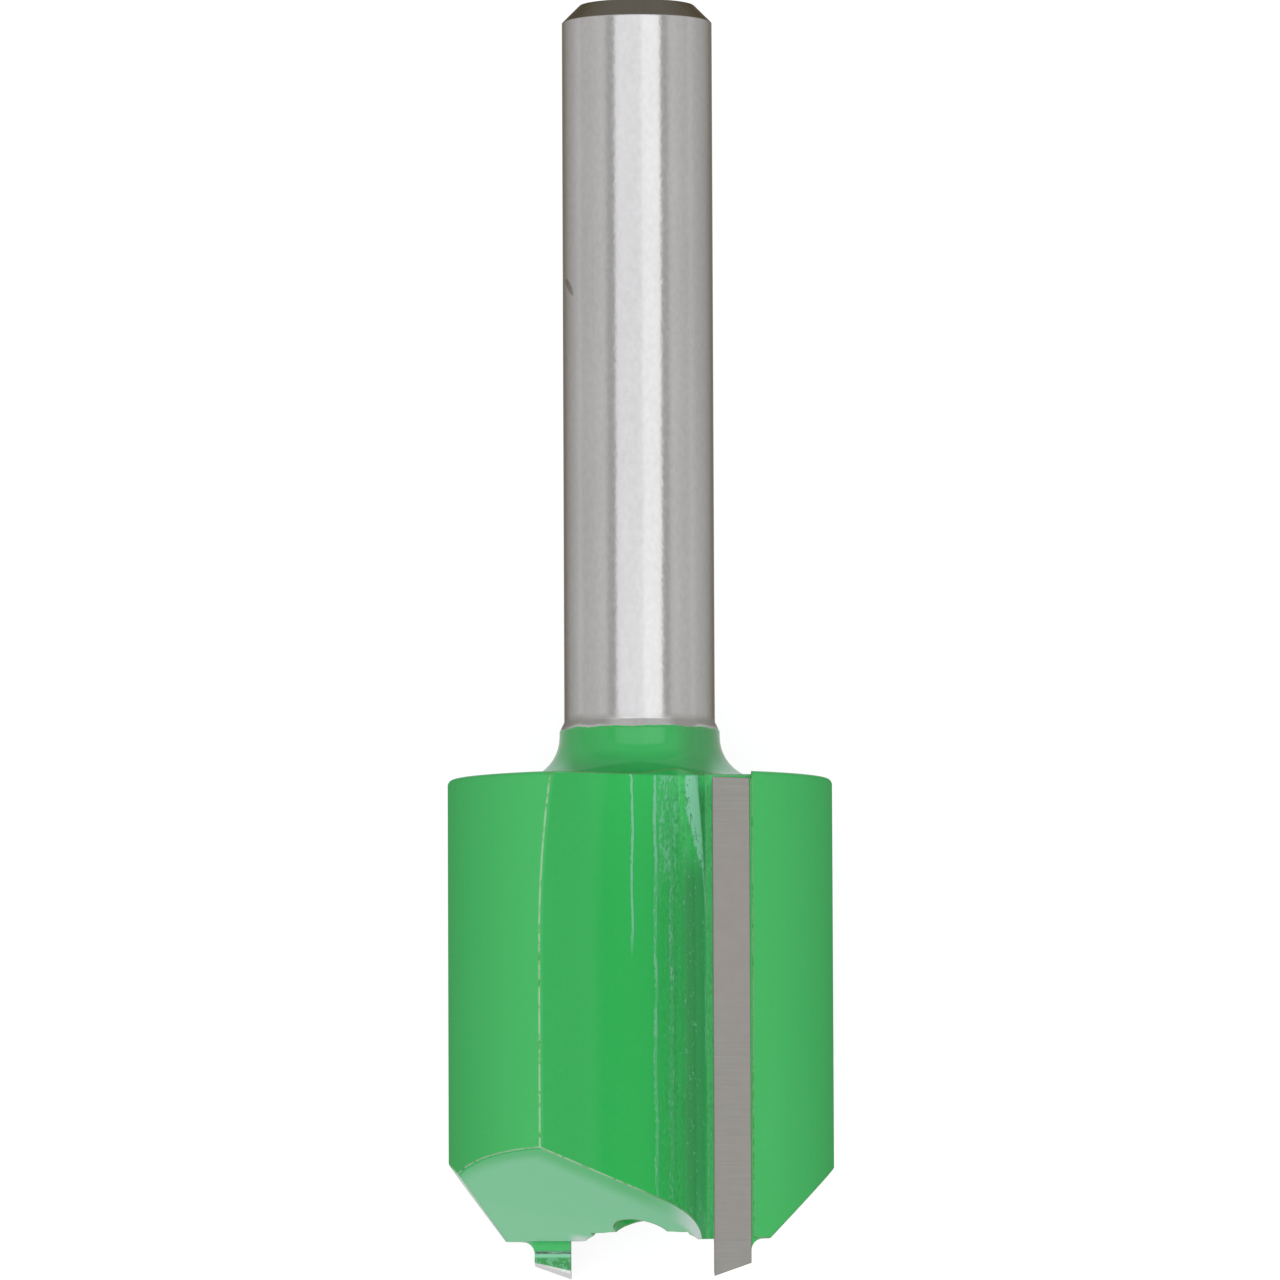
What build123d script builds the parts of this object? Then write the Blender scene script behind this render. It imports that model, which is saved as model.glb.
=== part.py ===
# Two-flute straight router bit with brazed carbide tips, sizes in millimetres.
#
# The bit is drawn standing on its own axis: Z runs from the cutting end up to the shank,
# and the turned end of the head is the plane Z = 0. One half is described, the other is
# the same half turned 180 degrees about the axis. At the end the whole bit is laid down
# as it comes to rest, on one cutting edge and the heel beside it, with the shank in the air.
import os
from math import asin, atan2, cos, degrees, radians, sin, sqrt, tan

from build123d import *

# Shank and neck
shank_diameter = 6.0
shank_length = 28.7
shank_chamfer = 0.7
neck_diameter = 6.38
neck_cone_length = 0.38
neck_straight_length = 0.2
neck_fillet_radius = 1.7

# Head
body_diameter = 15.3
body_length = 18.3
shoulder_round = 0.25

# Carbide tips and their braze
cutting_diameter = 16.0
rake_offset = 2.84
tip_thickness = 1.45
tip_width = 3.7
tip_reach = 1.49
tip_setback = 0.3
tip_outside_clearance = 14.0
tip_end_clearance = 17.8
tip_end_dish = 2.8
braze_thickness = 0.08
braze_bead_radius = 0.5

# Gullets
gullet_floor_offset = 3.5
gullet_floor_angle = 31.5
gullet_root_radius = 0.8
gullet_wall_step = 0.2
gullet_runout_radius = 36.0
gullet_runout_length = 6.9
gullet_lift_angle = 19.3
seat_side_angle = 40.0
seat_side_gap = 0.08

# Cutting end of the head
ridge_height = 0.33
recess_depth = 0.3
recess_radius = 2.3
relief_slope_across = 10.6
relief_slope_along = 20.8
relief_wall_offset = 2.39
relief_corner_radius = 1.6
first_bevel_height = 3.05
first_bevel_angle = 52.5
second_bevel_height = 2.85
second_bevel_angle = 45.5
bevel_skew = 2.0
centre_hole_diameter = 2.24
centre_hole_depth = 2.0
centre_hole_point_angle = 118.0

# Worked out from the sizes above
shank_radius = shank_diameter / 2
neck_radius = neck_diameter / 2
body_radius = body_diameter / 2
cutting_radius = cutting_diameter / 2
shank_root = body_length + neck_fillet_radius + neck_straight_length + neck_cone_length
shank_end = shank_root + shank_length
edge_y = -sqrt(cutting_radius**2 - rake_offset**2)
tip_back_x = rake_offset + tip_thickness
tip_inner_y = edge_y + tip_width
seat_back_x = tip_back_x + braze_thickness
seat_floor_y = tip_inner_y + braze_thickness
gullet_wall_x = rake_offset - gullet_wall_step
tip_top = body_length - tip_setback
runout_start = body_length - gullet_runout_length
clear = cutting_diameter

floor_along = Vector(cos(radians(gullet_floor_angle)), sin(radians(gullet_floor_angle)))
floor_out = Vector(sin(radians(gullet_floor_angle)), -cos(radians(gullet_floor_angle)))
lift = Vector(-sin(radians(gullet_lift_angle)), -cos(radians(gullet_lift_angle)))
half_turn = Rot(Z=180)


def corner_nearest(face, x, y):
    """The corner of a flat face that lies nearest to a point of its own plane."""
    return face.vertices().sort_by_distance((x, y, 0))[0]


def turned_blank():
    """Shank, neck and head as they leave the lathe, before anything is milled."""
    fillet_end = body_length + neck_fillet_radius
    outline = Polyline(
        (0, 0),
        (body_radius, 0),
        (body_radius, body_length),
        (neck_radius, body_length),
        (neck_radius, fillet_end + neck_straight_length),
        (shank_radius, shank_root),
        (shank_radius, shank_end - shank_chamfer),
        (shank_radius - shank_chamfer, shank_end),
        (0, shank_end),
        close=True,
    )
    profile = make_face(outline)
    profile = fillet(corner_nearest(profile, body_radius, body_length), shoulder_round)
    profile = fillet(corner_nearest(profile, neck_radius, body_length), neck_fillet_radius)
    return revolve(Plane.XZ * profile, Axis.Z)


def gullet_section():
    """Plan of one gullet: sloping floor, rounded root and the wall below the tip."""
    foot = floor_out * gullet_floor_offset
    to_wall = (gullet_wall_x - foot.X) / floor_along.X
    root = foot + floor_along * to_wall
    far_floor = foot - floor_along * clear
    outline = Polyline(
        (far_floor.X, far_floor.Y),
        (root.X, root.Y),
        (gullet_wall_x, -clear),
        (far_floor.X, -clear),
        close=True,
    )
    section = make_face(outline)
    return fillet(corner_nearest(section, root.X, root.Y), gullet_root_radius)


def gullet():
    """Straight along the head, then lifting out through the shoulder on the cutter's arc."""
    section = gullet_section()
    straight = Pos(0, 0, -clear) * extrude(section, clear + runout_start)
    foot = floor_out * gullet_floor_offset
    centre = foot + lift * gullet_runout_radius
    cutter_axis = Axis((centre.X, centre.Y, runout_start), (-lift.Y, lift.X, 0))
    rise = gullet_runout_length + neck_fillet_radius + 2 * neck_straight_length
    turn = degrees(asin(rise / (gullet_runout_radius - clear)))
    runout = revolve(Pos(0, 0, runout_start) * section, cutter_axis, turn)
    return straight + runout


def tip_seat():
    """Notch that holds the tip; its open side slopes away where the gullet lifts."""
    side_x = gullet_wall_x - seat_side_gap
    side_y = seat_floor_y - body_radius * tan(radians(seat_side_angle))
    outline = Polyline(
        (seat_back_x, -clear),
        (seat_back_x, seat_floor_y),
        (side_x, seat_floor_y),
        (side_x - body_radius, side_y),
        (side_x - body_radius, -clear),
        close=True,
    )
    return Pos(0, 0, -clear) * extrude(make_face(outline), 2 * clear + body_length)


def end_wedge(outline, slope_along):
    """Cutter for the end: an outline in X and Z, run along Y at a slope."""
    drop = tan(radians(slope_along))
    run = clear * sqrt(1 + drop**2)
    return extrude(Plane.XZ * outline, run, dir=(0, 1, -drop), both=True)


def end_relief():
    """Sloping cut behind the other half's tip, stopped by a wall beside this half's tip."""
    slope = tan(radians(relief_slope_across))
    far = ridge_height + slope * clear
    near = ridge_height - slope * relief_wall_offset
    outline = make_face(
        Polyline(
            (-clear, far),
            (relief_wall_offset, near),
            (relief_wall_offset, -clear),
            (-clear, -clear),
            close=True,
        )
    )
    outline = fillet(corner_nearest(outline, relief_wall_offset, near), relief_corner_radius)
    return end_wedge(outline, relief_slope_along)


def end_bevel(start_height, angle):
    """Flat bevel over the outer corner beside the gullet, ground by hand on each half."""
    slope = tan(radians(angle))
    rise = clear - body_radius
    outline = make_face(
        Polyline(
            (-clear, start_height + slope * rise),
            (clear - body_radius, start_height - slope * clear),
            (-clear, start_height - slope * clear),
            close=True,
        )
    )
    return end_wedge(outline, bevel_skew)


def centre_hole():
    """Drilled lathe centre in the end of the head, with its pointed bottom."""
    radius = centre_hole_diameter / 2
    point = radius / tan(radians(centre_hole_point_angle / 2))
    outline = Polyline(
        (0, -clear),
        (radius, -clear),
        (radius, centre_hole_depth),
        (0, centre_hole_depth + point),
        close=True,
    )
    return revolve(Plane.XZ * make_face(outline), Axis.Z)


def centre_recess():
    """Shallow turned recess that clears the middle of the end."""
    disc = Circle(recess_radius)
    return Pos(0, 0, recess_depth - clear) * extrude(disc, clear)


def cutter_body():
    """Shank, neck and head in one piece of steel."""
    body = turned_blank() - centre_hole() - centre_recess()
    for cut in (gullet(), tip_seat(), end_relief()):
        body = body - cut - half_turn * cut
    first_bevel = end_bevel(first_bevel_height, first_bevel_angle)
    second_bevel = end_bevel(second_bevel_height, second_bevel_angle)
    return body - first_bevel - half_turn * second_bevel


def tip_plan():
    """Plan of the tip: square at the seat, ground back from the edge outside."""
    edge_direction = degrees(atan2(rake_offset, -edge_y)) + tip_outside_clearance
    outer_y = edge_y + tip_thickness * tan(radians(edge_direction))
    outline = Polyline(
        (rake_offset, edge_y),
        (rake_offset, tip_inner_y),
        (tip_back_x, tip_inner_y),
        (tip_back_x, outer_y),
        close=True,
    )
    return make_face(outline)


def carbide_tip():
    """Flat carbide plate, its free end ground so that the outer cutting corner leads."""
    plate = Pos(0, 0, -clear) * extrude(tip_plan(), clear + tip_top)
    slope = tan(radians(tip_end_clearance))
    dish = tan(radians(tip_end_dish))
    corner = -dish * edge_y - tip_reach
    below = make_face(
        Polyline(
            (rake_offset - clear, corner - slope * clear),
            (rake_offset + clear, corner + slope * clear),
            (rake_offset + clear, -2 * clear),
            (rake_offset - clear, -2 * clear),
            close=True,
        )
    )
    return plate - extrude(Plane.XZ * below, clear, dir=(0, 1, dish), both=True)


def braze_seam():
    """Thin layer behind and under the tip, with a hollow bead where it meets the end."""
    layer_plan = make_face(
        Polyline(
            (rake_offset, tip_inner_y),
            (rake_offset, seat_floor_y),
            (seat_back_x, seat_floor_y),
            (seat_back_x, -clear),
            (tip_back_x, -clear),
            (tip_back_x, tip_inner_y),
            close=True,
        )
    )
    layer = extrude(layer_plan, tip_top) & extrude(Circle(body_radius), body_length)
    return layer + braze_bead()


def braze_bead():
    """Hollow bead round the foot of the tip, below the end of the head."""
    bead_x = tip_back_x + braze_bead_radius
    bead_y = tip_inner_y + braze_bead_radius
    bead_plan = make_face(
        Polyline(
            (rake_offset, tip_inner_y),
            (rake_offset, bead_y),
            (bead_x, bead_y),
            (bead_x, -clear),
            (tip_back_x, -clear),
            (tip_back_x, tip_inner_y),
            close=True,
        )
    )
    block = Pos(0, 0, -braze_bead_radius) * extrude(bead_plan, braze_bead_radius)
    block = block & Pos(0, 0, -clear) * extrude(Circle(body_radius), clear)
    back_round = Pos(bead_x, 0, -braze_bead_radius) * Rot(X=90) * Cylinder(braze_bead_radius, 2 * clear)
    foot_round = Pos(0, bead_y, -braze_bead_radius) * Rot(Y=90) * Cylinder(braze_bead_radius, 2 * clear)
    return block - back_round - foot_round


def rest_roll():
    """Turn about the axis that levels the line from one cutting edge to the heel beside it."""
    height = gullet_runout_length - shoulder_round
    half_chord = sqrt(body_radius**2 - gullet_floor_offset**2)
    heel = floor_out * gullet_floor_offset - floor_along * half_chord
    arm = gullet_runout_radius - (heel - floor_out * gullet_floor_offset).dot(lift)
    lifted = arm - sqrt(arm**2 - height**2)
    offset = gullet_floor_offset + lifted * lift.dot(floor_out)
    heel = floor_out * offset - floor_along * sqrt(body_radius**2 - offset**2)
    return degrees(atan2(edge_y - heel.Y, rake_offset - heel.X))


def laid_down(piece):
    """From standing on the axis to lying at rest, with the middle of the shank at the origin."""
    middle = shank_root + (shank_length - shank_chamfer) / 2
    return Rot(X=-90) * Rot(Z=-rest_roll()) * Pos(0, 0, -middle) * piece


def write(piece, node):
    export_step(laid_down(piece), f"parts/{node}.step")


os.makedirs("parts", exist_ok=True)
write(cutter_body(), "cutter_body")
for number, place in enumerate((Rot(Z=0), half_turn), start=1):
    write(place * carbide_tip(), f"carbide_tip_{number}")
    write(place * braze_seam(), f"braze_seam_{number}")
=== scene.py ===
from math import cos, pi, radians, sin, tan

import bmesh
import bpy
from mathutils import Matrix, Vector


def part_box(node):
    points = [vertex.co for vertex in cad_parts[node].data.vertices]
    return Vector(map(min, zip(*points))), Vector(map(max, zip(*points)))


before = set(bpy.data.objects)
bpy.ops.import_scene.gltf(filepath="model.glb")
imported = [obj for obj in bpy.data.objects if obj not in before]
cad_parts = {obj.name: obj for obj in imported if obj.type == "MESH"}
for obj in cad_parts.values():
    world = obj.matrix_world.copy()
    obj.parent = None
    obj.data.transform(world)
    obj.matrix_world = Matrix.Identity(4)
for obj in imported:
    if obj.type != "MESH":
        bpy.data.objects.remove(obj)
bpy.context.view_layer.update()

MM = 0.001
body_low, body_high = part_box("cutter_body")
tip_low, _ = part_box("carbide_tip_2")

# Places along the axis, which runs along Y
SHANK_END = body_high.y
HEAD_END = body_low.y
HEAD_TOP = HEAD_END + 18.3 * MM
BEAD_CREASE = HEAD_END - 0.36 * MM
BEAD_FOOT = HEAD_END - 0.47 * MM
COATING_START = SHANK_END - 29.0 * MM
CHAMFER_START = SHANK_END - 0.7 * MM

# The lands, and the sloping floor of each gullet
LAND_RADIUS = 7.65 * MM
GULLET_FLOOR_OFFSET = 3.5 * MM
GULLET_FLOOR_ANGLE = radians(31.5)

# The brown mark on the shank: its middle, its half sizes and its slant
STAIN_HEIGHT = SHANK_END - 11.4 * MM
STAIN_ACROSS = -2.72 * MM
STAIN_HALF_WIDTH = 0.095 * MM
STAIN_HALF_LENGTH = 0.38 * MM
STAIN_SLANT = 0.35

# The bit lies rolled about its axis; the photograph looks straight at a gullet
LYING_ROLL = radians(6.13)

# Camera, from the photograph
PHOTO_WIDTH = 1280
FOCAL_PIXELS = 10600
SENSOR_WIDTH = 36
LOOKING_UP = radians(3.9)
CAMERA_ROLL = radians(-0.24)
AXIS_DISTANCE = 421.3 * MM
EYE_BELOW_HEAD = 4.85 * MM
AIM_RIGHT_PIXELS = 0.8

# Studio
FLOOR_HALF = 3.0
FLOOR_COLOUR = 0.26
FLOOR_GLOW = 0.84
FLOOR_IN_GLOSS_NEAR = 0.5
FLOOR_IN_GLOSS_FAR = 0.64
SHADED_REACH = 0.012
LIT_REACH = 0.07
SOFTBOX_DISTANCE = 0.6
SOFTBOX_HALF_ANGLE = radians(36.0)
SOFTBOX_REACH = SOFTBOX_DISTANCE * tan(SOFTBOX_HALF_ANGLE)
SOFTBOX_LEFT_TRIM = 0.02
SOFTBOX_LEFT_EDGE = SOFTBOX_LEFT_TRIM - SOFTBOX_REACH
SOFTBOX_SPLIT = 0.07
SOFTBOX_LEFT = 0.835
SOFTBOX_RIGHT = 1.09
SOFTBOX_LEFT_COLOUR = (0.97, 0.985, 1.055)
SOFTBOX_RIGHT_COLOUR = (0.98, 0.99, 1.035)

# Finishes
STEEL = (0.475, 0.465, 0.455)
STEEL_EDGE_TINT = (0.36, 0.33, 0.27, 1)
# Dull steel is also painted shade at the sides of the collar; pale steel is a painted highlight
DULL_SHADED_STEEL = (0.35, 0.34, 0.325)
PALE_STEEL = (0.72, 0.71, 0.70)
SCALE_BROWN = (0.165, 0.15, 0.125)
STAIN_BROWN = (0.16, 0.13, 0.10)
CARBIDE = (0.33, 0.305, 0.28)
COOL_CARBIDE = (0.318, 0.308, 0.285)
# Near-white carbide: a painted reflection on the bare end faces
BARE_CARBIDE_PAINTED_REFLECTION = (0.95, 0.92, 0.91)
TIP_EDGE_BROWN = (0.14, 0.085, 0.06)
GULLET_GREEN = (0.006, 0.40, 0.062)
# The next two greens are painted light towards the gullet root and painted shade down the gullet wall
PAINTED_LIGHT_ROOT_GREEN = (0.026, 0.53, 0.095)
PAINTED_SHADE_GREEN = (0.015, 0.30, 0.057)
LAND_GREEN = (0.06, 0.465, 0.115)
GROUND_GREEN = (0.183, 0.705, 0.334)
GROUND_EDGE_GREEN = (0.035, 0.575, 0.145)
# Near-white green: a painted highlight on the ground faces by the tip
PAINTED_HIGHLIGHT_GROUND_GREEN = (0.66, 0.84, 0.75)
NECK_GREEN = (0.012, 0.41, 0.07)
# Darker green: painted shade on the neck
SHADED_NECK_GREEN = (0.022, 0.31, 0.062)
PALE_GREEN = (0.25, 0.63, 0.41)
# Pale green on worn edges, also a painted glint
WORN_GLINT_GREEN = (0.40, 0.60, 0.38)
THIN_GREEN = (0.10, 0.22, 0.06)

# Share of the lacquer's gloss left on each surface
COAT_ON_LANDS = 0.04
COAT_IN_GULLETS = 0.8
COAT_ON_ROOT = 0.5
COAT_AT_FOOT = 0.6


def around_axis(across, upward):
    """A direction square to the axis, given as the photograph shows it and turned as the bit lies."""
    x = across * cos(LYING_ROLL) + upward * sin(LYING_ROLL)
    z = upward * cos(LYING_ROLL) - across * sin(LYING_ROLL)
    return Vector((x, 0, z))


ALONG = Vector((0, 1, 0))
ACROSS = around_axis(1, 0)
UPWARD = around_axis(0, 1)


# Helpers for nodes
def add_node(tree, kind, **settings):
    """A new node with its settings made."""
    node = tree.nodes.new(kind)
    for name, value in settings.items():
        setattr(node, name, value)
    return node


def feed(tree, socket, value):
    """Links an output to a socket, or sets the socket's own value."""
    if isinstance(value, bpy.types.NodeSocket):
        tree.links.new(value, socket)
    else:
        socket.default_value = value


def calculate(tree, operation, *values):
    """One sum on numbers that change over the surface."""
    node = add_node(tree, "ShaderNodeMath", operation=operation)
    for socket, value in zip(node.inputs, values):
        feed(tree, socket, value)
    return node.outputs[0]


def multiply(tree, first, *others):
    """The product of two or more masks or values."""
    product = first
    for value in others:
        product = calculate(tree, "MULTIPLY", product, value)
    return product


def either(tree, first, *others):
    """The largest of two or more masks."""
    largest = first
    for value in others:
        largest = calculate(tree, "MAXIMUM", largest, value)
    return largest


def along_direction(tree, vector, direction):
    """How far a vector reaches along a fixed direction."""
    node = add_node(tree, "ShaderNodeVectorMath", operation="DOT_PRODUCT")
    feed(tree, node.inputs[0], vector)
    node.inputs[1].default_value = direction
    return node.outputs["Value"]


def sum_of_squares(tree, first, second):
    """The square of one value added to the square of another."""
    first_square = calculate(tree, "POWER", first, 2.0)
    second_square = calculate(tree, "POWER", second, 2.0)
    return calculate(tree, "ADD", first_square, second_square)


def step(tree, value, low, high):
    """0 below low, 1 above high and smooth between; it falls where low is the larger."""
    node = add_node(tree, "ShaderNodeMapRange", interpolation_type="SMOOTHSTEP")
    feed(tree, node.inputs["Value"], value)
    if low < high:
        limits = (low, high, 0, 1)
    else:
        limits = (high, low, 1, 0)
    for name, limit in zip(("From Min", "From Max", "To Min", "To Max"), limits):
        node.inputs[name].default_value = limit
    return node.outputs["Result"]


def spread(tree, value, low, high):
    """A mask from 0 to 1 turned into a value from low to high."""
    node = add_node(tree, "ShaderNodeMapRange")
    feed(tree, node.inputs["Value"], value)
    node.inputs["To Min"].default_value = low
    node.inputs["To Max"].default_value = high
    return node.outputs["Result"]


def outside(tree, mask):
    """1 where a mask is 0, and 0 where it is 1."""
    return spread(tree, mask, 1.0, 0.0)


def mix_colours(tree, amount, first, second, blend_type="MIX"):
    """The second colour laid over the first by an amount from 0 to 1."""
    node = add_node(tree, "ShaderNodeMix", data_type="RGBA", blend_type=blend_type)
    feed(tree, node.inputs["Factor"], amount)
    first_socket, second_socket = [socket for socket in node.inputs if socket.type == "RGBA"]
    for socket, colour in ((first_socket, first), (second_socket, second)):
        feed(tree, socket, colour if isinstance(colour, bpy.types.NodeSocket) else (*colour, 1))
    return next(socket for socket in node.outputs if socket.type == "RGBA")


def noise(tree, vector, scale, detail=2.0):
    """Cloudy pattern; scale is in patches for each metre, one number for each direction."""
    mapping = add_node(tree, "ShaderNodeMapping")
    feed(tree, mapping.inputs["Vector"], vector)
    mapping.inputs["Scale"].default_value = scale
    texture = add_node(tree, "ShaderNodeTexNoise")
    feed(tree, texture.inputs["Vector"], mapping.outputs["Vector"])
    texture.inputs["Scale"].default_value = 1.0
    texture.inputs["Detail"].default_value = detail
    return texture.outputs["Fac"]


def object_place(tree):
    """Where each point of the surface is, in metres."""
    return add_node(tree, "ShaderNodeTexCoord").outputs["Object"]


def object_normal(tree):
    """The way that each point of the surface faces."""
    return add_node(tree, "ShaderNodeTexCoord").outputs["Normal"]


def new_group(name, inputs, outputs):
    """An empty node group: its tree, the sockets it takes from and the sockets it gives to."""
    tree = bpy.data.node_groups.new(name, "ShaderNodeTree")
    for socket_name, value in inputs.items():
        socket = tree.interface.new_socket(socket_name, in_out="INPUT", socket_type="NodeSocketFloat")
        socket.default_value = value
    for socket_name, kind in outputs.items():
        tree.interface.new_socket(socket_name, in_out="OUTPUT", socket_type=f"NodeSocket{kind}")
    taken = tree.nodes.new("NodeGroupInput").outputs
    given = tree.nodes.new("NodeGroupOutput").inputs
    return tree, taken, given


def use_group(tree, group, **values):
    """Places a group in a tree with its own values; gives its outputs."""
    node = add_node(tree, "ShaderNodeGroup", node_tree=group)
    for name, value in values.items():
        feed(tree, node.inputs[name], value)
    return node.outputs


# Shared effects
def half_place_group():
    """Place and facing seen from either half of the bit, so that both halves match."""
    outputs = {"Across": "Float", "Outward": "Float", "Faces Across": "Float", "Faces Outward": "Float"}
    tree, _, given = new_group("half_place", {}, outputs)
    place = object_place(tree)
    normal = object_normal(tree)
    upward = along_direction(tree, place, UPWARD)
    half = calculate(tree, "SIGN", upward)
    values = {
        "Across": along_direction(tree, place, ACROSS),
        "Outward": upward,
        "Faces Across": along_direction(tree, normal, ACROSS),
        "Faces Outward": along_direction(tree, normal, UPWARD),
    }
    for name, value in values.items():
        feed(tree, given[name], calculate(tree, "MULTIPLY", value, half))
    return tree


def edge_wear_group():
    """Rim along every edge, the patches worn through it that also carry a painted glint, and a normal
    that rounds the edge a little.
    """
    outputs = {"Rim": "Float", "Worn Glint": "Float", "Rounded": "Vector"}
    tree, taken, given = new_group("edge_wear", {"Radius": 0.07 * MM, "Breakup": 3200.0}, outputs)
    bevel = add_node(tree, "ShaderNodeBevel", samples=8)
    feed(tree, bevel.inputs["Radius"], taken["Radius"])
    flat = add_node(tree, "ShaderNodeNewGeometry").outputs["True Normal"]
    compare = add_node(tree, "ShaderNodeVectorMath", operation="DOT_PRODUCT")
    feed(tree, compare.inputs[0], bevel.outputs["Normal"])
    feed(tree, compare.inputs[1], flat)
    bend = calculate(tree, "SUBTRACT", 1.0, compare.outputs["Value"])
    texture = add_node(tree, "ShaderNodeTexNoise")
    feed(tree, texture.inputs["Vector"], object_place(tree))
    feed(tree, texture.inputs["Scale"], taken["Breakup"])
    patches = step(tree, texture.outputs["Fac"], 0.28, 0.54)
    feed(tree, given["Rim"], step(tree, bend, 0.004, 0.02))
    feed(tree, given["Worn Glint"], multiply(tree, step(tree, bend, 0.008, 0.03), patches))
    feed(tree, given["Rounded"], bevel.outputs["Normal"])
    return tree


# Each painted highlight streak: place across the gullet, half width, length down from the shoulder, how
# far it breaks up
HIGHLIGHT_STREAKS = (
    (-0.31 * MM, 0.065 * MM, 7.6 * MM, 0.15),
    (0.60 * MM, 0.075 * MM, 4.6 * MM, 0.25),
    (0.62 * MM, 0.085 * MM, 19.0 * MM, 0.58),
    (1.22 * MM, 0.11 * MM, 19.0 * MM, 0.68),
)
# The same for the painted highlight streak down the right edge of the painted highlight wedge, its place
# measured from that edge
WEDGE_EDGE_STREAK = (-0.05 * MM, 0.055 * MM, 13.0 * MM, 0.45)
# Each edge of the painted highlight wedge: place at the shoulder, metres to the right for each metre
# down, limit
HIGHLIGHT_WEDGE_LEFT = (1.43 * MM, 0.26, 1.79 * MM)
HIGHLIGHT_WEDGE_RIGHT = (2.29 * MM, 0.064, 2.62 * MM)
# How fast the painted highlight wedge fills in to the right and thins out downwards, for each metre
HIGHLIGHT_WEDGE_FILLS = 450.0
HIGHLIGHT_WEDGE_THINS = -22.0


def highlight_streak(tree, across, down, uneven, line):
    """One painted highlight streak down a gullet, fading out below; its edges follow the unevenness."""
    middle, half_width, length, break_up = line
    distance = calculate(tree, "ABSOLUTE", calculate(tree, "SUBTRACT", across, middle))
    reach = multiply(tree, spread(tree, uneven, 0.4, 1.7), half_width)
    near = step(tree, calculate(tree, "DIVIDE", distance, reach), 1.0, 0.4)
    fade = step(tree, down, length, length * 0.75)
    whole = step(tree, uneven, 0.32 + 0.3 * break_up, 0.4 + 0.3 * break_up)
    return multiply(tree, near, fade, spread(tree, whole, 1.0 - break_up, 1.0))


def highlight_wedge_edge(tree, down, hold, edge):
    """One edge of the painted highlight wedge, moving to the right as it runs down and held to its
    limit.
    """
    start, slant, limit = edge
    return calculate(tree, hold, limit, calculate(tree, "MULTIPLY_ADD", down, slant, start))


def gullet_marks(tree, place, half, down):
    """Masks down each gullet: painted highlight streaks, speckle and wedge, and painted shade with dark
    blotches below them.
    """
    across = half["Across"]
    wobble = spread(tree, noise(tree, place, (900, 420, 900)), -0.1 * MM, 0.1 * MM)
    uneven = noise(tree, place, (6000, 900, 6000), detail=3.0)
    grain = noise(tree, place, (10500, 4500, 10500), detail=3.0)
    jagged = spread(tree, grain, -0.05 * MM, 0.05 * MM)
    bent = calculate(tree, "ADD", calculate(tree, "ADD", across, wobble), jagged)
    streaked = calculate(tree, "ADD", grain, uneven)
    ragged = multiply(tree, streaked, 0.5)

    # Painted highlight speckle near the shoulder between the streaks and the wedge, then the painted
    # highlight streaks
    highlight_speckle = calculate(tree, "MULTIPLY_ADD", step(tree, streaked, 0.97, 1.17), 0.45, 0.18)
    near_shoulder = step(tree, down, 5.6 * MM, 3.4 * MM)
    past_runs = step(tree, bent, 0.62 * MM, 0.8 * MM)
    before_splash = step(tree, bent, 1.7 * MM, 1.3 * MM)
    pale = multiply(tree, highlight_speckle, near_shoulder, past_runs, before_splash)
    for line in HIGHLIGHT_STREAKS:
        streak = multiply(tree, highlight_streak(tree, bent, down, ragged, line), 0.85)
        pale = either(tree, pale, streak)

    # The painted highlight wedge beside the tip, the painted highlight streak down its right edge and
    # painted glints on the root
    from_left = calculate(tree, "SUBTRACT", bent, highlight_wedge_edge(tree, down, "MAXIMUM", HIGHLIGHT_WEDGE_LEFT))
    from_right = calculate(tree, "SUBTRACT", across, highlight_wedge_edge(tree, down, "MINIMUM", HIGHLIGHT_WEDGE_RIGHT))
    past_left = step(tree, from_left, -0.06 * MM, 0.06 * MM)
    before_right = step(tree, from_right, 0.02 * MM, -0.03 * MM)
    above_end = step(tree, down, 5.4 * MM, 4.2 * MM)
    covered = calculate(tree, "MULTIPLY_ADD", from_left, HIGHLIGHT_WEDGE_FILLS, grain)
    covered = calculate(tree, "MULTIPLY_ADD", down, HIGHLIGHT_WEDGE_THINS, covered)
    highlight_wedge = multiply(tree, past_left, before_right, above_end, step(tree, covered, 0.34, 0.46))
    edge_streak = multiply(tree, highlight_streak(tree, from_right, down, uneven, WEDGE_EDGE_STREAK), 0.6)
    glints = multiply(tree, step(tree, grain, 0.58, 0.7), step(tree, bent, 0.4 * MM, 1.2 * MM), 0.45)
    pale = either(tree, pale, highlight_wedge, edge_streak, glints)

    # Painted shade down the wall below the wedge, and dark blotches on the root
    painted_shade = multiply(tree, step(tree, bent, 1.4 * MM, 1.95 * MM), step(tree, down, 2.4 * MM, 4.4 * MM))
    painted_shade = multiply(tree, painted_shade, step(tree, across, 2.64 * MM, 2.46 * MM))
    blotches = multiply(tree, step(tree, grain, 0.5, 0.38), step(tree, bent, 0.5 * MM, 1.4 * MM), 0.5)
    return pale, either(tree, painted_shade, blotches)


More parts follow.
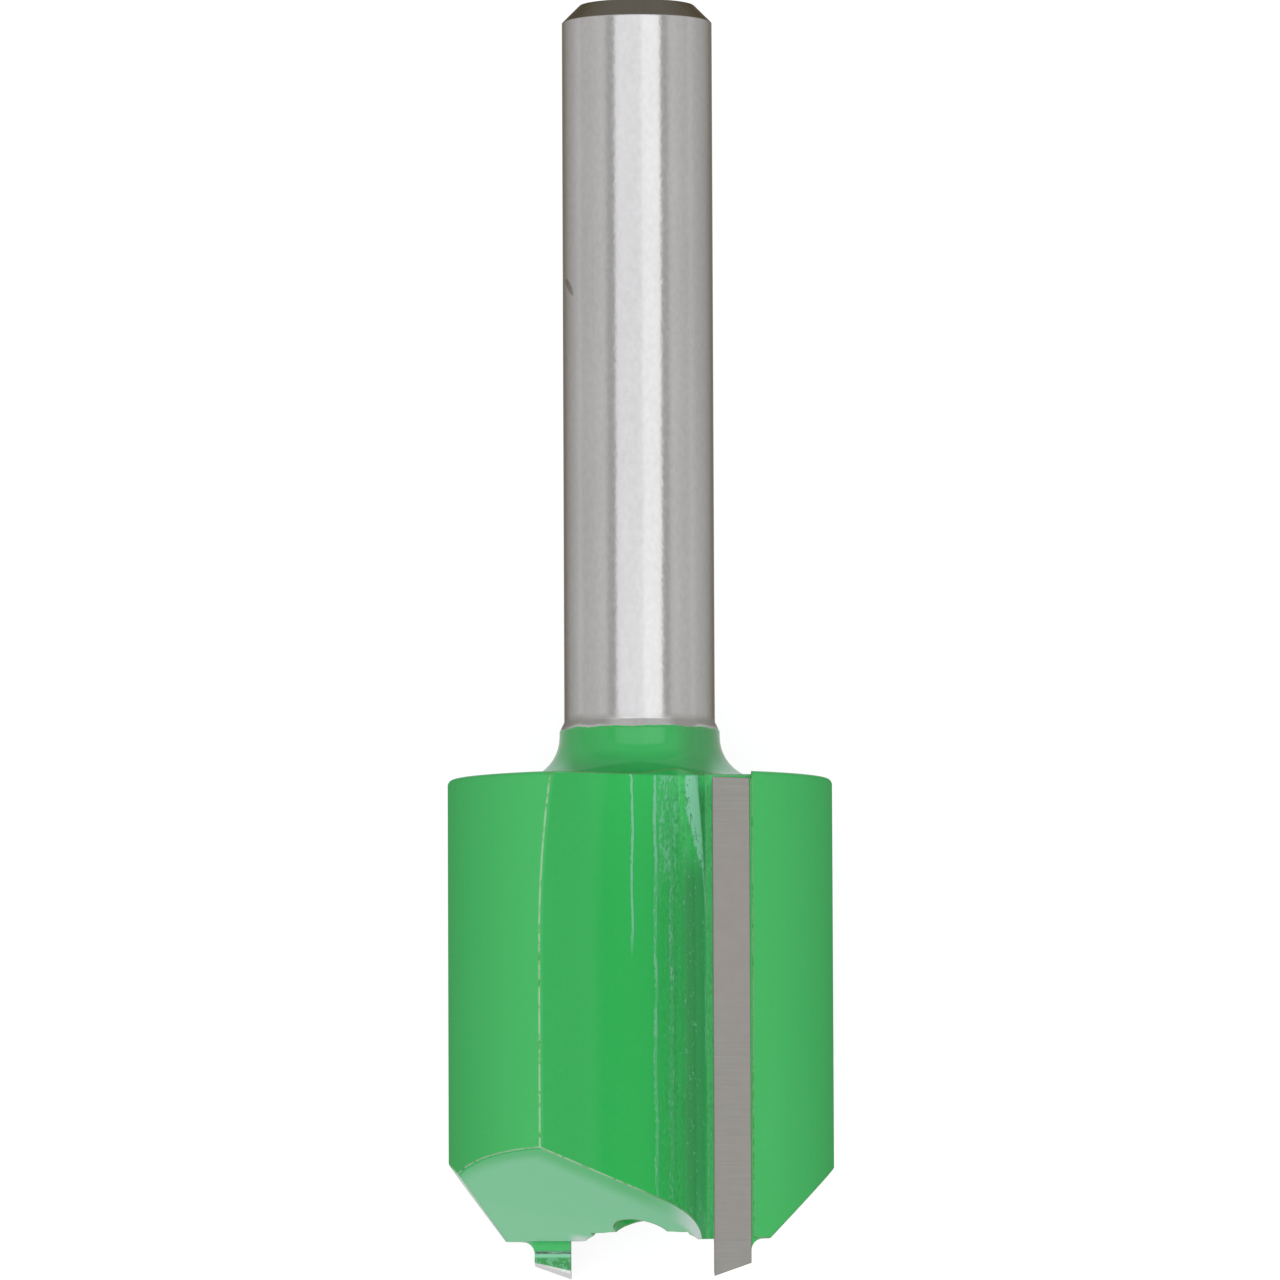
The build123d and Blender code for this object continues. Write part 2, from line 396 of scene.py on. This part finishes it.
def ground_face_colour(tree, half, radius, clouds):
    """Pale lacquer on the ground end faces, greener along their upper edges, with a painted highlight by
    the tip.
    """
    across = half["Across"]
    floor = multiply(tree, across, sin(GULLET_FLOOR_ANGLE))
    floor = calculate(tree, "MULTIPLY_ADD", half["Outward"], cos(GULLET_FLOOR_ANGLE), floor)
    uneven = spread(tree, clouds, -0.15 * MM, 0.15 * MM)
    below_floor = calculate(tree, "ADD", calculate(tree, "SUBTRACT", GULLET_FLOOR_OFFSET, floor), uneven)
    inside_land = calculate(tree, "ADD", calculate(tree, "SUBTRACT", LAND_RADIUS, radius), uneven)

    by_floor = step(tree, below_floor, 1.5 * MM, 0.3 * MM)
    by_floor = multiply(tree, by_floor, step(tree, across, 1.8 * MM, 0.0))
    narrowing = calculate(tree, "MULTIPLY_ADD", across, -0.15, inside_land)
    by_land = step(tree, narrowing, 1.8 * MM, 1.0 * MM)
    by_land = multiply(tree, by_land, step(tree, across, 0.5 * MM, -0.5 * MM))
    by_gullet = step(tree, half["Outward"], 1.3 * MM, 1.9 * MM)
    highlight_by_tip = multiply(tree, step(tree, across, 0.95 * MM, 2.25 * MM), by_gullet)
    highlight_by_tip = multiply(tree, highlight_by_tip, step(tree, across, 3.0 * MM, 2.5 * MM))
    colour = mix_colours(tree, either(tree, by_floor, by_land), GROUND_GREEN, GROUND_EDGE_GREEN)
    return mix_colours(tree, highlight_by_tip, colour, PAINTED_HIGHLIGHT_GROUND_GREEN)


# Bands across each half of the bit, each from where it starts to where it is full
TOWARDS_ROOT = (-3.0 * MM, 0.2 * MM)
PALE_ROOT_START = (0.8 * MM, 1.1 * MM)
PALE_ROOT_END = (1.8 * MM, 1.5 * MM)
ROOT_ROUND = (1.4 * MM, 1.8 * MM)
BESIDE_TIP = (2.1 * MM, 2.3 * MM)
HEEL_SIDE = (0.5 * MM, 0.0)
NECK_SHADED_SIDE = (1.2 * MM, 2.1 * MM)
NECK_LIMBS = (2.5 * MM, 3.4 * MM)


def lacquer_group(half_place, edge_wear):
    """Green lacquer, its tone set by how the surface under it was made, with painted highlights, light
    and shade in the gullets, on the ground faces and on the neck.
    """
    outputs = {
        "Colour": "Color",
        "Roughness": "Float",
        "Gloss": "Float",
        "Height": "Float",
        "Rounded": "Vector",
    }
    tree, taken, given = new_group("green_lacquer", {"Ground": 1.0, "Wear": 1.0}, outputs)
    place = object_place(tree)
    clouds = noise(tree, place, (300, 130, 300))
    specks = noise(tree, place, (5200, 5200, 5200), detail=3.0)
    half = use_group(tree, half_place)
    across = half["Across"]
    down = calculate(tree, "SUBTRACT", HEAD_TOP, along_direction(tree, place, ALONG))
    radius = calculate(tree, "SQRT", sum_of_squares(tree, across, half["Outward"]))

    # The surfaces: lands, gullets, ground end faces and the neck's foot
    land = step(tree, radius, LAND_RADIUS - 0.2 * MM, LAND_RADIUS - 0.05 * MM)
    below_shoulder = step(tree, down, 0.0, 0.1 * MM)
    faces_outward = step(tree, half["Faces Outward"], 0.2, 0.5)
    in_gullet = multiply(tree, below_shoulder, outside(tree, land), faces_outward)
    by_the_tip = multiply(tree, in_gullet, step(tree, across, *BESIDE_TIP))
    faces_end = step(tree, along_direction(tree, object_normal(tree), ALONG), -0.2, -0.35)
    ground = multiply(tree, faces_end, taken["Ground"])
    foot = step(tree, down, -1.1 * MM, -0.2 * MM)
    limbs = step(tree, calculate(tree, "ABSOLUTE", across), *NECK_LIMBS)

    # Each surface's own green; lighter towards the root as painted light, and painted shade below the
    # wedge
    colour = mix_colours(tree, step(tree, across, *TOWARDS_ROOT), GULLET_GREEN, PAINTED_LIGHT_ROOT_GREEN)
    pale, dark = gullet_marks(tree, place, half, down)
    colour = mix_colours(tree, multiply(tree, dark, in_gullet), colour, PAINTED_SHADE_GREEN)
    # The neck: painted shade on one side and at the foot, and a painted reflection on the limbs of the
    # foot
    neck_shade = either(tree, step(tree, across, *NECK_SHADED_SIDE), multiply(tree, foot, 0.7))
    neck = mix_colours(tree, neck_shade, NECK_GREEN, SHADED_NECK_GREEN)
    neck = mix_colours(tree, multiply(tree, foot, limbs, 0.65), neck, PALE_GREEN)
    colour = mix_colours(tree, below_shoulder, neck, colour)
    colour = mix_colours(tree, land, colour, LAND_GREEN)
    colour = mix_colours(tree, ground, colour, ground_face_colour(tree, half, radius, clouds))

    # A pale tone over all of it, with painted light on the root and beside the tip, and the painted
    # highlight streaks
    tone = calculate(tree, "ADD", spread(tree, clouds, 0.0, 0.05), spread(tree, specks, 0.0, 0.06))
    tone = calculate(tree, "MULTIPLY_ADD", by_the_tip, 0.11, tone)
    on_the_root = multiply(tree, in_gullet, step(tree, across, *PALE_ROOT_START))
    on_the_root = multiply(tree, on_the_root, step(tree, across, *PALE_ROOT_END))
    tone = calculate(tree, "MULTIPLY_ADD", on_the_root, 0.06, tone)
    runs_and_highlights = multiply(tree, pale, in_gullet, outside(tree, ground))
    colour = mix_colours(tree, either(tree, tone, runs_and_highlights), colour, PALE_GREEN)

    # Wear with a painted glint, strongest on the heels and slight beside the tip and along the top edge
    wear = use_group(tree, edge_wear, Radius=0.11 * MM)
    open_edge = multiply(tree, spread(tree, by_the_tip, 1.0, 0.15), taken["Wear"])
    colour = mix_colours(tree, multiply(tree, wear["Rim"], open_edge, 0.55), colour, THIN_GREEN)
    heel = multiply(tree, step(tree, across, *HEEL_SIDE), step(tree, down, 0.0, 0.3 * MM))
    below_top_edge = step(tree, down, 0.1 * MM, 0.5 * MM)
    worn_glint = multiply(tree, wear["Worn Glint"], open_edge, spread(tree, heel, 0.35, 1.0))
    worn_glint = multiply(tree, worn_glint, spread(tree, below_top_edge, 0.15, 1.0))
    colour = mix_colours(tree, worn_glint, colour, WORN_GLINT_GREEN)

    # Gloss, lost most of all on the lands
    gloss = spread(tree, land, 1.0, COAT_ON_LANDS)
    gloss = multiply(tree, gloss, spread(tree, in_gullet, 1.0, COAT_IN_GULLETS))
    root_round = multiply(tree, in_gullet, step(tree, across, *ROOT_ROUND))
    gloss = multiply(tree, gloss, spread(tree, root_round, 1.0, COAT_ON_ROOT))
    at_foot = multiply(tree, foot, outside(tree, below_shoulder), outside(tree, limbs))
    gloss = multiply(tree, gloss, spread(tree, at_foot, 1.0, COAT_AT_FOOT))
    feed(tree, given["Colour"], colour)
    feed(tree, given["Roughness"], spread(tree, clouds, 0.24, 0.34))
    feed(tree, given["Gloss"], gloss)
    feed(tree, given["Height"], calculate(tree, "ADD", spread(tree, specks, 0.0, 0.2), runs_and_highlights))
    feed(tree, given["Rounded"], wear["Rounded"])
    return tree


# Materials
def new_material(name):
    """A new material: its tree, its shader and the material itself."""
    material = bpy.data.materials.new(name)
    material.use_nodes = True
    return material.node_tree, material.node_tree.nodes["Principled BSDF"], material


def add_bump(tree, height, distance, normal):
    """A normal with a fine relief added to it, as deep as the distance where the height is 1."""
    bump = add_node(tree, "ShaderNodeBump")
    bump.inputs["Strength"].default_value = 1.0
    bump.inputs["Distance"].default_value = distance
    feed(tree, bump.inputs["Height"], height)
    feed(tree, bump.inputs["Normal"], normal)
    return bump.outputs["Normal"]


def shank_stain(tree, place):
    """The one small slanting brown mark on the shank."""
    across = calculate(tree, "SUBTRACT", along_direction(tree, place, ACROSS), STAIN_ACROSS)
    along = calculate(tree, "SUBTRACT", along_direction(tree, place, ALONG), STAIN_HEIGHT)
    slanting = calculate(tree, "MULTIPLY_ADD", along, STAIN_SLANT, across)
    wide = calculate(tree, "DIVIDE", slanting, STAIN_HALF_WIDTH)
    high = calculate(tree, "DIVIDE", along, STAIN_HALF_LENGTH)
    mark = step(tree, sum_of_squares(tree, wide, high), 1.3, 0.5)
    return multiply(tree, mark, step(tree, along_direction(tree, place, UPWARD), 0.0, 0.1 * MM))


def coated_steel_material(lacquer):
    """Green lacquer over the head and neck, ground bare steel on the shank."""
    tree, shader, material = new_material("coated_steel")
    place = object_place(tree)
    along = along_direction(tree, place, ALONG)
    wobble = spread(tree, noise(tree, place, (1600, 300, 1600), detail=4.0), -0.1 * MM, 0.1 * MM)
    past_coating = calculate(tree, "SUBTRACT", calculate(tree, "ADD", along, wobble), COATING_START)
    bare = step(tree, past_coating, -0.015 * MM, 0.015 * MM)

    # Bare steel: mottled, scaled brown on the chamfer; where the coating ends a dull collar, darker at
    # the sides as painted shade, and a painted highlight in the middle and along the coating's edge
    mottle = noise(tree, place, (5200, 3200, 5200), detail=5.0)
    stains = noise(tree, place, (520, 160, 520), detail=4.0)
    mottled = spread(tree, mottle, -0.1, 0.1)
    steel_tone = calculate(tree, "ADD", mottled, spread(tree, stains, 0.93, 1.07))
    scaled = step(tree, along, CHAMFER_START - 0.02 * MM, CHAMFER_START + 0.02 * MM)
    sideways = calculate(tree, "ABSOLUTE", along_direction(tree, place, ACROSS))
    limbs = step(tree, sideways, 0.7 * MM, 1.5 * MM)
    dull_collar_and_shade = step(tree, past_coating, 0.6 * MM, 0.25 * MM)
    dull_collar_and_shade = multiply(tree, dull_collar_and_shade, spread(tree, limbs, 0.2, 1.0))
    highlight_fringe = step(tree, past_coating, 0.14 * MM, 0.04 * MM)
    highlight_fringe = multiply(tree, highlight_fringe, step(tree, stains, 0.38, 0.5))
    centre_highlight = step(tree, past_coating, 0.36 * MM, 0.26 * MM)
    centre_highlight = multiply(tree, centre_highlight, outside(tree, limbs))
    steel = mix_colours(tree, scaled, STEEL, SCALE_BROWN)
    steel = mix_colours(tree, multiply(tree, dull_collar_and_shade, 0.8), steel, DULL_SHADED_STEEL)
    steel = mix_colours(tree, multiply(tree, either(tree, highlight_fringe, centre_highlight), 0.6), steel, PALE_STEEL)
    steel = mix_colours(tree, multiply(tree, shank_stain(tree, place), 0.55), steel, STAIN_BROWN)
    steel = mix_colours(tree, 1.0, steel, steel_tone, blend_type="MULTIPLY")
    dulled = either(tree, scaled, multiply(tree, dull_collar_and_shade, 1.6))
    steel_roughness = calculate(tree, "MULTIPLY_ADD", dulled, 0.2, spread(tree, mottle, 0.1, 0.21))

    green = use_group(tree, lacquer)
    feed(tree, shader.inputs["Base Color"], mix_colours(tree, bare, green["Colour"], steel))
    feed(tree, shader.inputs["Metallic"], bare)
    roughness = add_node(tree, "ShaderNodeMix", data_type="FLOAT")
    feed(tree, roughness.inputs["Factor"], bare)
    feed(tree, roughness.inputs["A"], green["Roughness"])
    feed(tree, roughness.inputs["B"], steel_roughness)
    feed(tree, shader.inputs["Roughness"], roughness.outputs["Result"])
    shader.inputs["Specular IOR Level"].default_value = 0.0
    shader.inputs["Specular Tint"].default_value = STEEL_EDGE_TINT
    feed(tree, shader.inputs["Coat Weight"], multiply(tree, outside(tree, bare), green["Gloss"]))
    shader.inputs["Coat Roughness"].default_value = 0.15
    shader.inputs["Coat IOR"].default_value = 1.5
    grinding_lines = noise(tree, place, (600, 26000, 600), detail=3.0)
    lacquer_skin = add_bump(tree, green["Height"], 0.02 * MM, green["Rounded"])
    feed(tree, shader.inputs["Normal"], add_bump(tree, grinding_lines, 0.0006 * MM, lacquer_skin))
    return material


def coated_braze_material(lacquer):
    """Silver solder, lumpy under the same green lacquer, with painted light in the crease by the tip."""
    tree, shader, material = new_material("coated_braze")
    place = object_place(tree)
    green = use_group(tree, lacquer, Ground=0.2, Wear=0.0)
    lumps = noise(tree, place, (1800, 1800, 1800), detail=3.0)
    past_crease = calculate(tree, "SUBTRACT", BEAD_CREASE, along_direction(tree, place, ALONG))
    crease_painted_light = multiply(tree, step(tree, past_crease, 0.0, 0.06 * MM), 0.9)
    feed(tree, shader.inputs["Base Color"], mix_colours(tree, crease_painted_light, green["Colour"], PALE_GREEN))
    feed(tree, shader.inputs["Roughness"], green["Roughness"])
    shader.inputs["Specular IOR Level"].default_value = 0.0
    feed(tree, shader.inputs["Coat Weight"], green["Gloss"])
    shader.inputs["Coat Roughness"].default_value = 0.2
    feed(tree, shader.inputs["Normal"], add_bump(tree, lumps, 0.05 * MM, green["Rounded"]))
    return material


# Where the lacquer on a tip's inner face stops, below the bead's foot, and how that line slopes
TIP_LACQUER_END = (1.31 * MM, 1.36 * MM)
TIP_LACQUER_SLOPE = 0.224


def carbide_material(lacquer, half_place, edge_wear):
    """Ground carbide where the tip was sharpened, lacquer on its inner face, back and top."""
    tree, shader, material = new_material("carbide")
    place = object_place(tree)
    half = use_group(tree, half_place)
    facing_along = along_direction(tree, object_normal(tree), ALONG)
    inner = step(tree, half["Faces Outward"], -0.5, -0.6)
    back = step(tree, half["Faces Across"], 0.8, 0.9)
    top = step(tree, facing_along, 0.8, 0.9)
    coated = either(tree, inner, back, top)

    # Ground faces: fine marks across them, brown along their edges, a painted white reflection on the
    # end
    marks = noise(tree, place, (300, 14000, 300), detail=3.0)
    mottle = noise(tree, place, (1700, 1700, 1700), detail=4.0)
    patches = noise(tree, place, (260, 150, 260))
    strength = spread(tree, step(tree, patches, 0.4, 0.6), 0.06, 0.3)
    marked = calculate(tree, "MULTIPLY_ADD", calculate(tree, "SUBTRACT", marks, 0.5), strength, 1.0)
    tone = calculate(tree, "ADD", marked, spread(tree, mottle, -0.06, 0.06))
    ground = mix_colours(tree, step(tree, patches, 0.35, 0.65), CARBIDE, COOL_CARBIDE)
    ground = mix_colours(tree, 1.0, ground, tone, blend_type="MULTIPLY")
    wear = use_group(tree, edge_wear, Radius=0.05 * MM)
    end_face = step(tree, facing_along, -0.7, -0.85)
    ground = mix_colours(tree, multiply(tree, wear["Rim"], 0.6), ground, TIP_EDGE_BROWN)
    ground = mix_colours(tree, end_face, ground, BARE_CARBIDE_PAINTED_REFLECTION)

    # Lacquered faces: a painted highlight line under the bead, painted shade and pale flecks below it,
    # bare carbide with a painted reflection at the end
    green = use_group(tree, lacquer, Ground=0.0, Wear=0.25)
    below_bead = calculate(tree, "SUBTRACT", BEAD_FOOT, along_direction(tree, place, ALONG))
    painted_shade = step(tree, below_bead, 0.12 * MM, 0.25 * MM)
    spatter = noise(tree, place, (7000, 7000, 7000), detail=3.0)
    flecks = multiply(tree, step(tree, spatter, 0.48, 0.62), 0.45)
    highlight_line_and_flecks = either(tree, step(tree, below_bead, 0.2 * MM, 0.12 * MM), flecks)
    highlight_line_and_flecks = multiply(tree, highlight_line_and_flecks, step(tree, below_bead, 0.0, 0.03 * MM))
    by_end = calculate(tree, "MULTIPLY_ADD", half["Across"], TIP_LACQUER_SLOPE, below_bead)
    bare_end = multiply(tree, step(tree, by_end, *TIP_LACQUER_END), 0.85)
    lacquered = mix_colours(tree, painted_shade, green["Colour"], PAINTED_SHADE_GREEN)
    lacquered = mix_colours(tree, highlight_line_and_flecks, lacquered, PALE_GREEN)
    lacquered = mix_colours(tree, bare_end, lacquered, BARE_CARBIDE_PAINTED_REFLECTION)
    feed(tree, shader.inputs["Base Color"], mix_colours(tree, coated, ground, lacquered))
    not_metal = either(tree, coated, multiply(tree, end_face, 0.7))
    feed(tree, shader.inputs["Metallic"], spread(tree, not_metal, 0.6, 0.0))
    feed(tree, shader.inputs["Roughness"], spread(tree, coated, 0.42, 0.28))
    feed(tree, shader.inputs["Normal"], add_bump(tree, marks, 0.0015 * MM, wear["Rounded"]))
    return material


def dress(node, material):
    """Gives a piece its material in place of the plain one."""
    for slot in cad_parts[node].material_slots:
        slot.material = material


# Studio
def floor_material():
    """White paper, shadow and all; gloss on the bit shows it greyer, with a painted shade close by."""
    tree, shader, material = new_material("floor_white")
    shader.inputs["Base Color"].default_value = (FLOOR_COLOUR, FLOOR_COLOUR, FLOOR_COLOUR, 1)
    shader.inputs["Roughness"].default_value = 1.0
    shader.inputs["Specular IOR Level"].default_value = 0.0
    shader.inputs["Emission Color"].default_value = (1, 1, 1, 1)
    place = add_node(tree, "ShaderNodeSeparateXYZ")
    feed(tree, place.inputs[0], object_place(tree))
    sideways = calculate(tree, "ABSOLUTE", place.outputs["X"])
    lit = step(tree, sideways, SHADED_REACH, LIT_REACH)
    path = add_node(tree, "ShaderNodeLightPath").outputs
    reflected = either(tree, path["Is Glossy Ray"], path["Is Transmission Ray"])
    # Painted shade: reflections see the floor darker close to the bit
    reflected = multiply(tree, reflected, spread(tree, lit, FLOOR_IN_GLOSS_NEAR, FLOOR_IN_GLOSS_FAR))
    seen = multiply(tree, path["Is Camera Ray"], FLOOR_GLOW)
    feed(tree, shader.inputs["Emission Strength"], either(tree, seen, reflected))
    return material


def add_floor():
    """A wide floor just under the cutting edge and the heel that the bit rests on."""
    shape = bmesh.new()
    bmesh.ops.create_grid(shape, x_segments=1, y_segments=1, size=FLOOR_HALF)
    bmesh.ops.translate(shape, verts=shape.verts, vec=(0, 0, min(body_low.z, tip_low.z)))
    mesh = bpy.data.meshes.new("floor")
    shape.to_mesh(mesh)
    shape.free()
    floor = bpy.data.objects.new("floor", mesh)
    bpy.context.scene.collection.objects.link(floor)
    mesh.materials.append(floor_material())


def add_softbox(name, left, right, radiance, colour):
    """One of the two large soft lights round the camera, from its left to its right edge."""
    data = bpy.data.lights.new(name, "AREA")
    data.shape = "RECTANGLE"
    data.color = colour
    data.size = right - left
    data.size_y = 2 * SOFTBOX_REACH
    data.energy = radiance * data.size * data.size_y * pi
    lamp = bpy.data.objects.new(name, data)
    bpy.context.scene.collection.objects.link(lamp)
    middle = ALONG * (SHANK_END + HEAD_END) / 2
    place = middle + UPWARD * SOFTBOX_DISTANCE + ACROSS * (left + right) / 2
    turn = Matrix((ACROSS, ALONG, UPWARD)).transposed()
    lamp.matrix_world = Matrix.Translation(place) @ turn.to_4x4()


# Brightness of the studio walls by the cosine of the angle from straight above the gullet
WALL_LEVELS = ((0.0, 0.83), (0.30, 0.87), (0.55, 0.97), (0.63, 0.92), (0.69, 0.67), (0.80, 0.66))
END_WALL_LEVEL = 0.62


def add_world():
    """Grey studio walls, darker beyond the softboxes' edge and past both ends of the bit."""
    world = bpy.data.worlds.new("studio")
    world.use_nodes = True
    tree = world.node_tree
    direction = add_node(tree, "ShaderNodeTexCoord").outputs["Generated"]
    ramp = add_node(tree, "ShaderNodeValToRGB")
    stops = ramp.color_ramp.elements
    while len(stops) < len(WALL_LEVELS):
        stops.new(1.0)
    for stop, (position, level) in zip(stops, WALL_LEVELS):
        stop.position = position
        stop.color = (level, level, level, 1)
    feed(tree, ramp.inputs["Fac"], along_direction(tree, direction, UPWARD))
    endways = calculate(tree, "ABSOLUTE", along_direction(tree, direction, ALONG))
    end_wall = step(tree, endways, 0.6, 0.9)
    dimmed = spread(tree, end_wall, 1.0, END_WALL_LEVEL)
    level = mix_colours(tree, 1.0, ramp.outputs["Color"], dimmed, blend_type="MULTIPLY")
    feed(tree, tree.nodes["Background"].inputs["Color"], level)
    bpy.context.scene.world = world


def add_camera():
    """Looks straight into a gullet from just past the cutting end, turned a little to the shank."""
    aim_turn = Matrix.Rotation(-AIM_RIGHT_PIXELS / FOCAL_PIXELS, 3, ALONG)
    forward = aim_turn @ (ALONG * sin(LOOKING_UP) - UPWARD * cos(LOOKING_UP))
    right = aim_turn @ ACROSS
    up = right.cross(forward)
    turn = Matrix((right, up, -forward)).transposed() @ Matrix.Rotation(CAMERA_ROLL, 3, "Z")
    data = bpy.data.cameras.new("photo_camera")
    data.sensor_width = SENSOR_WIDTH
    data.lens = FOCAL_PIXELS / PHOTO_WIDTH * SENSOR_WIDTH
    data.clip_start = 0.01
    data.clip_end = 100
    camera = bpy.data.objects.new("photo_camera", data)
    bpy.context.scene.collection.objects.link(camera)
    place = UPWARD * AXIS_DISTANCE + ALONG * (HEAD_END - EYE_BELOW_HEAD)
    camera.matrix_world = Matrix.Translation(place) @ turn.to_4x4()
    bpy.context.scene.camera = camera


half_place = half_place_group()
edge_wear = edge_wear_group()
lacquer = lacquer_group(half_place, edge_wear)
dress("cutter_body", coated_steel_material(lacquer))
carbide = carbide_material(lacquer, half_place, edge_wear)
coated_braze = coated_braze_material(lacquer)
for number in (1, 2):
    dress(f"carbide_tip_{number}", carbide)
    dress(f"braze_seam_{number}", coated_braze)

add_floor()
add_softbox("softbox_left", SOFTBOX_LEFT_EDGE, SOFTBOX_SPLIT, SOFTBOX_LEFT, SOFTBOX_LEFT_COLOUR)
add_softbox("softbox_right", SOFTBOX_SPLIT, SOFTBOX_REACH, SOFTBOX_RIGHT, SOFTBOX_RIGHT_COLOUR)
add_world()
add_camera()
bpy.context.scene.view_settings.view_transform = "Standard"
